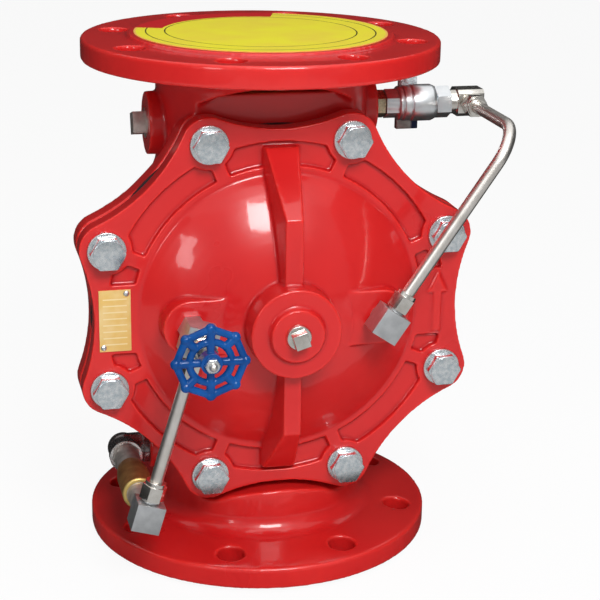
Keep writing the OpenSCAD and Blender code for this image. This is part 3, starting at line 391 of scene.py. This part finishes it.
def makeGoldPlate():
    # gold anodised sheet with etched ruled lines, lighter where the dye is gone
    material, tree, shader, place = startMaterial("goldAnodised")
    low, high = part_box("nameplate")
    margin = plateLook["margin"] * mm
    apart = addNode(tree, "ShaderNodeSeparateXYZ", None, {"Vector": place})
    row = addMath(tree, "MODULO", apart.outputs["Z"], plateLook["ruleStep"] * mm)
    inside = addMath(tree, "LESS_THAN", row, plateLook["ruleStep"] * plateLook["ruleWidth"] * mm)
    for axis, start, end in (("X", low[0], high[0]), ("Z", low[2], high[2])):
        past = addMath(tree, "GREATER_THAN", apart.outputs[axis], start + margin)
        short = addMath(tree, "LESS_THAN", apart.outputs[axis], end - margin)
        inside = addMath(tree, "MULTIPLY", inside, addMath(tree, "MULTIPLY", past, short))
    drift = addNoise(tree, place, plateLook["driftSize"], 2.0)
    tint = addRamp(tree, addMath(tree, "MAXIMUM", inside, drift), (plateLook["gold"], plateLook["pale"]))
    tree.links.new(tint, shader.inputs["Base Color"])
    shader.inputs["Metallic"].default_value = plateLook["metallic"]
    shader.inputs["Roughness"].default_value = plateLook["roughness"]
    return material


finishes = {"redEnamel": makeRedEnamel(), "goldAnodised": makeGoldPlate()}
for finishName, finishLook in metalLooks.items():
    finishes[finishName] = makeMetal(finishName, finishLook)
for finishName, finishLook in plasticLooks.items():
    finishes[finishName] = makePlastic(finishName, finishLook)

finishOf = {
    "redEnamel": ["valve_body", "cover"],
    "forgedZinc": ["cover_bolts"],
    "zincPlate": ["cover_washers", "clamp_bolt", "clamp_nut", "return_spring", "check_spring",
                  "handwheel_nut", "ball_stem", "stem_gland", "release_lever", "lever_nut",
                  "nameplate_rivets"],
    "nickelPlate": ["supply_nuts", "release_nuts", "release_elbow", "needle_bonnet", "needle_gland",
                    "centre_plug"],
    "blastedNickel": ["supply_block", "chamber_block", "needle_body"],
    "satinNickel": ["ball_valve_body", "ball_valve_end"],
    "drawnStainless": ["supply_tube", "release_tube", "needle_stem", "needle_disc"],
    "galvanisedPipe": ["supply_nipple", "supply_connector", "side_plug", "clamp_plate", "retaining_plate"],
    "darkIron": ["supply_elbow"],
    "agedBrass": ["check_body"],
    "dullBrass": ["release_bushing"],
    "cleanBrass": ["seat_ring", "check_poppet"],
    "goldAnodised": ["nameplate"],
    "polishedChrome": ["ball"],
    "blueEnamel": ["handwheel"],
    "greyGripNavyEnd": ["lever_sleeve"],
    "blackRubber": ["diaphragm"],
    "whiteSeal": ["ball_seats"],
}
materialOf = {}
for finishName, members in finishOf.items():
    for member in members:
        materialOf[member] = finishes[finishName]
        nodes[member].data.materials.clear()
        nodes[member].data.materials.append(finishes[finishName])
print("finishes:", len(finishes))


# cast pieces: the sharp solids rounded over as poured iron is

castings = {
    "valve_body": {"voxel": 1.5, "steps": 4, "keep": 195000},
    "cover": {"voxel": 1.1, "steps": 4, "keep": 195000},
    "handwheel": {"voxel": 0.45, "steps": 3, "keep": 90000},
}


def makeCasting(node, look):
    piece = copyOf(node, node + "_cast")
    applyModifier(piece, "REMESH", mode="VOXEL", voxel_size=look["voxel"] * mm)
    applyModifier(piece, "SMOOTH", factor=0.5, iterations=look["steps"])
    triangles = 2 * len(piece.data.polygons)
    if triangles > look["keep"]:
        applyModifier(piece, "DECIMATE", ratio=look["keep"] / triangles)
    bpy.ops.object.shade_smooth()
    standIn(piece, node, materialOf[node])
    print(node, "cast skin:", triangles, "triangles thinned to", len(piece.data.polygons))


for castNode, castLook in castings.items():
    makeCasting(castNode, castLook)


# machined pieces: edges broken by a small bevel

bevels = {
    "cover_bolts": 0.4,
    "cover_washers": 0.4,
    "centre_plug": 0.7,
    "side_plug": 0.9,
    "supply_block": 0.6,
    "chamber_block": 0.6,
    "needle_body": 0.7,
    "supply_nuts": 0.4,
    "release_nuts": 0.4,
    "release_elbow": 0.8,
    "needle_bonnet": 0.4,
    "needle_gland": 0.4,
    "supply_elbow": 0.8,
    "supply_connector": 0.4,
    "check_body": 0.4,
    "ball_valve_body": 0.5,
    "ball_valve_end": 0.4,
    "release_bushing": 0.4,
    "handwheel_nut": 0.3,
    "release_lever": 0.4,
    "lever_sleeve": 0.9,
    "nameplate": 0.15,
}


bevelLook = {"segments": 3, "sharp": 28, "flat": 0.6}  # angles in degrees


def breakEdges(node, width):
    piece = copyOf(node, node + "_edged")
    bpy.ops.object.mode_set(mode="EDIT")
    bpy.ops.mesh.select_all(action="SELECT")
    bpy.ops.mesh.dissolve_limited(angle_limit=math.radians(bevelLook["flat"]))
    bpy.ops.object.mode_set(mode="OBJECT")
    applyModifier(piece, "BEVEL", width=width * mm, segments=bevelLook["segments"], limit_method="ANGLE",
                  angle_limit=math.radians(bevelLook["sharp"]), harden_normals=False)
    bpy.ops.object.shade_smooth_by_angle(angle=smoothAngle)
    standIn(piece, node, materialOf[node])


for edgedNode, edgeWidth in bevels.items():
    breakEdges(edgedNode, edgeWidth)
print("edges broken on", len(bevels), "pieces")


# drawn and turned pieces: only their round faces smoothed

turned = ["supply_tube", "release_tube", "supply_nipple", "needle_stem", "nameplate_rivets", "ball_stem",
          "stem_gland", "lever_nut", "ball", "ball_seats", "seat_ring", "check_poppet", "needle_disc",
          "clamp_plate", "retaining_plate", "clamp_bolt", "clamp_nut"]
turnedAngle = math.radians(35)


def smoothRound(node):
    piece = copyOf(node, node + "_turned")
    bpy.ops.object.shade_smooth_by_angle(angle=turnedAngle)
    standIn(piece, node, materialOf[node])


for turnedNode in turned:
    smoothRound(turnedNode)
print("round faces smoothed on", len(turned), "pieces")


# soft and sprung pieces inside

diaphragmSplit = {"radius": 66, "axisHeight": 212, "depth": 100, "sides": 96}


def makeDiaphragm():
    # the clamped middle lifts with the disc, the web stays with the rim
    low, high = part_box("diaphragm")
    place = (0, (low[1] + high[1]) / 2, diaphragmSplit["axisHeight"] * mm)
    bpy.ops.object.select_all(action="DESELECT")
    bpy.ops.mesh.primitive_cylinder_add(vertices=diaphragmSplit["sides"],
                                        radius=diaphragmSplit["radius"] * mm,
                                        depth=diaphragmSplit["depth"] * mm, location=place,
                                        rotation=(math.pi / 2, 0, 0))
    cutter = bpy.context.object
    parts = {"diaphragm_web": ("DIFFERENCE", "valve"), "diaphragm_middle": ("INTERSECT", "main_disc")}
    for name, (way, body) in parts.items():
        piece = copyOf("diaphragm", name)
        applyModifier(piece, "BOOLEAN", operation=way, object=cutter, solver="EXACT")
        bpy.ops.object.shade_smooth_by_angle(angle=smoothAngle)
        piece.data.materials.clear()
        piece.data.materials.append(materialOf["diaphragm"])
        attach(piece, body)
        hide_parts("diaphragm")
    bpy.data.objects.remove(cutter)


springs = {
    "return_spring": {"joint": "disc_lift", "travel": 20},
    "check_spring": {"joint": "check_lift", "travel": 6},
}


def makeSprings():
    for node, spring in springs.items():
        piece = copyOf(node, node + "_coil")
        bpy.ops.object.shade_smooth()
        standIn(piece, node, materialOf[node])
        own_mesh(piece)


makeDiaphragm()
makeSprings()
print("diaphragm and springs made")


# seal over the outlet

seal = {
    "radius": 100.5,
    "thickness": 0.35,
    "lift": 0.05,
    "inset": 4,
    "sides": 128,
    "amber": (0.3, "#f3de48"),
    "yellow": (0.6, "#f6ec3c"),
    "fadeSize": 40,
    "rim": "#f8c060",
    "red": "#c21c22",
    "ink": "#3a3818",
    "band": 79,  # mm, where the outer band starts
    "rings": (76, 91),
    "ringWidth": 1.1,
    "rimWidth": 1.6,
    "redFrom": 72,  # degrees, the part of the band that is printed red
    "redTo": 161,
    "creaseSize": 30,
    "creaseDepth": 0.25,
    "roughness": 0.38,
    "specular": 0.3,
}


def makeSealFilm():
    # printed vinyl film: flat bright yellow with thin dark rings, half gloss
    material, tree, shader, place = startMaterial("yellowFilm")
    apart = addNode(tree, "ShaderNodeSeparateXYZ", None, {"Vector": place})
    flat = addNode(tree, "ShaderNodeCombineXYZ", None, {"X": apart.outputs["X"], "Y": apart.outputs["Y"]})
    radius = addNode(tree, "ShaderNodeVectorMath", None, {0: flat.outputs[0]},
                     operation="LENGTH").outputs["Value"]
    angle = addMath(tree, "ARCTAN2", apart.outputs["Y"], apart.outputs["X"])
    colour = addRamp(tree, addNoise(tree, place, seal["fadeSize"], 3.0), (seal["amber"], seal["yellow"]))
    for ring in seal["rings"]:
        off = addMath(tree, "ABSOLUTE", addMath(tree, "SUBTRACT", radius, ring * mm))
        line = addMath(tree, "LESS_THAN", off, seal["ringWidth"] / 2 * mm)
        colour = addCover(tree, line, colour, seal["ink"])
    rim = addMath(tree, "GREATER_THAN", radius, (seal["radius"] - seal["rimWidth"]) * mm)
    colour = addCover(tree, rim, colour, seal["rim"])
    outer = addMath(tree, "GREATER_THAN", radius, seal["band"] * mm)
    after = addMath(tree, "GREATER_THAN", angle, math.radians(seal["redFrom"]))
    before = addMath(tree, "LESS_THAN", angle, math.radians(seal["redTo"]))
    sector = addMath(tree, "MULTIPLY", addMath(tree, "MULTIPLY", after, before), outer)
    colour = addCover(tree, sector, colour, seal["red"])
    tree.links.new(colour, shader.inputs["Base Color"])
    creases = addNoise(tree, place, seal["creaseSize"], 2.0)
    tree.links.new(addRelief(tree, creases, seal["creaseDepth"]), shader.inputs["Normal"])
    shader.inputs["Roughness"].default_value = seal["roughness"]
    shader.inputs["Specular IOR Level"].default_value = seal["specular"]
    return material


def makeSeal():
    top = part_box("valve_body")[1][2]
    bpy.ops.object.select_all(action="DESELECT")
    bpy.ops.mesh.primitive_circle_add(vertices=seal["sides"], radius=seal["radius"] * mm, fill_type="NGON",
                                      location=(0, 0, top + seal["lift"] * mm))
    piece = bpy.context.object
    piece.name = "outlet_seal"
    bpy.ops.object.transform_apply(location=True, rotation=True, scale=True)
    bpy.ops.object.mode_set(mode="EDIT")
    bpy.ops.mesh.select_all(action="SELECT")
    bpy.ops.mesh.extrude_region_move(TRANSFORM_OT_translate={"value": (0, 0, seal["thickness"] * mm)})
    bpy.ops.mesh.inset(thickness=seal["inset"] * mm, depth=0)
    bpy.ops.mesh.select_all(action="SELECT")
    bpy.ops.mesh.normals_make_consistent(inside=False)
    bpy.ops.object.mode_set(mode="OBJECT")
    onlySelect(piece)
    bpy.ops.object.shade_smooth_by_angle(angle=smoothAngle)
    piece.data.materials.append(makeSealFilm())
    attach(piece, "valve")


makeSeal()
print("outlet seal made")


# studio

studio = {
    "floor": 20.0,
    "floorDrop": 0.4,  # mm below the part
    "floorPaint": "#f6f6f6",
    "floorGlow": 0.93,
    "skyLight": 0.12,
    "room": 2.2,  # half the width of the ring of flags
    "flagTop": 2.4,
    "aim": (0, 0, 0.21),
}
room, flagTop, upright = studio["room"], studio["flagTop"], math.pi / 2
apronGap = 0.2
flags = {  # glow is the brightness at the floor and at the top
    "frontFlag": {"place": (0, -room, flagTop / 2), "turn": (upright, 0, 0), "size": (2 * room, flagTop),
                  "glow": (0.3, 0.6)},
    "backFlag": {"place": (0, room, flagTop / 2), "turn": (upright, 0, 0), "size": (2 * room, flagTop),
                 "glow": (0.02, 0.06)},
    "leftFlag": {"place": (-room, 0, flagTop / 2), "turn": (upright, 0, upright),
                 "size": (2 * room, flagTop), "glow": (0.05, 0.15)},
    "rightFlag": {"place": (room, 0, flagTop / 2), "turn": (upright, 0, upright),
                  "size": (2 * room, flagTop), "glow": (0.03, 0.1)},
    "floorFlag": {"place": (0, 0, -0.3 * mm), "turn": (0, 0, 0), "size": (2 * room, 2 * room),
                  "glow": (0.03, 0.03)},
    "apronFlag": {"place": (0, -(room + apronGap) / 2, -0.2 * mm), "turn": (0, 0, 0),
                  "size": (room, room - apronGap), "glow": (0.55, 0.55)},
    "ceilingFlag": {"place": (0.15, -0.7, flagTop - 0.1), "turn": (0, 0, 0), "size": (1.5, 1.1),
                    "glow": (2.6, 2.6)},
}
lamps = {
    "keyLamp": {"place": (0.12, -1.75, 1.65), "size": (0.8, 0.6), "power": 37, "mirrored": True},
    "leftLamp": {"place": (-1.4, -1.5, 0.9), "size": (0.3, 0.6), "power": 4.5, "mirrored": True},
    "fillLamp": {"place": (1.7, -1.5, 0.9), "size": (1.0, 1.4), "power": 3, "mirrored": False},
    "topLamp": {"place": (0.0, -0.2, 2.2), "size": (1.0, 1.0), "power": 12, "mirrored": False},
}


def seenRay(tree):
    # 1 for what the camera, a mirror or a glass sees, 0 for light that falls on the part
    rays = addNode(tree, "ShaderNodeLightPath").outputs
    first = addMath(tree, "MAXIMUM", rays["Is Camera Ray"], rays["Is Glossy Ray"])
    return addMath(tree, "MAXIMUM", first, rays["Is Transmission Ray"])


def makeFloor():
    level = cadBox[0][2] - studio["floorDrop"] * mm
    bpy.ops.mesh.primitive_plane_add(size=studio["floor"], location=(0, 0, level))
    floor = bpy.context.object
    floor.name = "floor"
    material, tree, surface = startGlow("paleFloor")
    paint = addNode(tree, "ShaderNodeBsdfDiffuse", {"Color": linear(studio["floorPaint"])})
    glow = addNode(tree, "ShaderNodeEmission", {"Color": linear(white), "Strength": 1.0})
    share = addMath(tree, "MULTIPLY", seenRay(tree), studio["floorGlow"])
    mix = addNode(tree, "ShaderNodeMixShader", None, {0: share, 1: paint.outputs[0], 2: glow.outputs[0]})
    tree.links.new(mix.outputs[0], surface)
    floor.data.materials.append(material)


def makeFlagPaint(name, low, high):
    material, tree, surface = startGlow(name)
    place = addNode(tree, "ShaderNodeNewGeometry").outputs["Position"]
    apart = addNode(tree, "ShaderNodeSeparateXYZ", None, {"Vector": place})
    rise = addNode(tree, "ShaderNodeMapRange", {"From Max": flagTop, "To Min": low, "To Max": high},
                   {"Value": apart.outputs["Z"]})
    glow = addNode(tree, "ShaderNodeEmission", {"Color": linear(white)}, {"Strength": rise.outputs["Result"]})
    tree.links.new(glow.outputs[0], surface)
    if high < 1:  # a dim flag is found by the mirrors alone, with less noise
        material.cycles.emission_sampling = "NONE"
    return material


def makeFlags():
    # grey flags that only mirrors see, so gloss and bare metal have something to show
    for name, look in flags.items():
        bpy.ops.mesh.primitive_plane_add(size=1, location=look["place"], rotation=look["turn"])
        flag = bpy.context.object
        flag.name = name
        flag.scale = (look["size"][0], look["size"][1], 1)
        flag.data.materials.append(makeFlagPaint(name + "Paint", *look["glow"]))
        flag.visible_camera = False
        flag.visible_diffuse = False
        flag.visible_shadow = False
        flag.visible_transmission = False


def makeWorld():
    world = bpy.data.worlds.new("studioWorld")
    scene.world = world
    world.use_nodes = True
    tree = world.node_tree
    tree.nodes.clear()
    lit = addNode(tree, "ShaderNodeBackground", {"Color": linear(white), "Strength": studio["skyLight"]})
    bright = addNode(tree, "ShaderNodeBackground", {"Color": linear(white), "Strength": 1.0})
    mix = addNode(tree, "ShaderNodeMixShader", None,
                  {0: seenRay(tree), 1: lit.outputs[0], 2: bright.outputs[0]})
    addNode(tree, "ShaderNodeOutputWorld", None, {"Surface": mix.outputs[0]})


def makeLamps():
    for name, lamp in lamps.items():
        data = bpy.data.lights.new(name, "AREA")
        data.shape = "RECTANGLE"
        data.size, data.size_y = lamp["size"]
        data.energy = lamp["power"]
        light = bpy.data.objects.new(name, data)
        scene.collection.objects.link(light)
        place = Vector(lamp["place"])
        aim = Vector(studio["aim"]) - place
        light.matrix_world = Matrix.Translation(place) @ aim.to_track_quat("-Z", "Y").to_matrix().to_4x4()
        light.visible_glossy = lamp["mirrored"]


makeFloor()
makeFlags()
makeWorld()
makeLamps()
print("studio set")
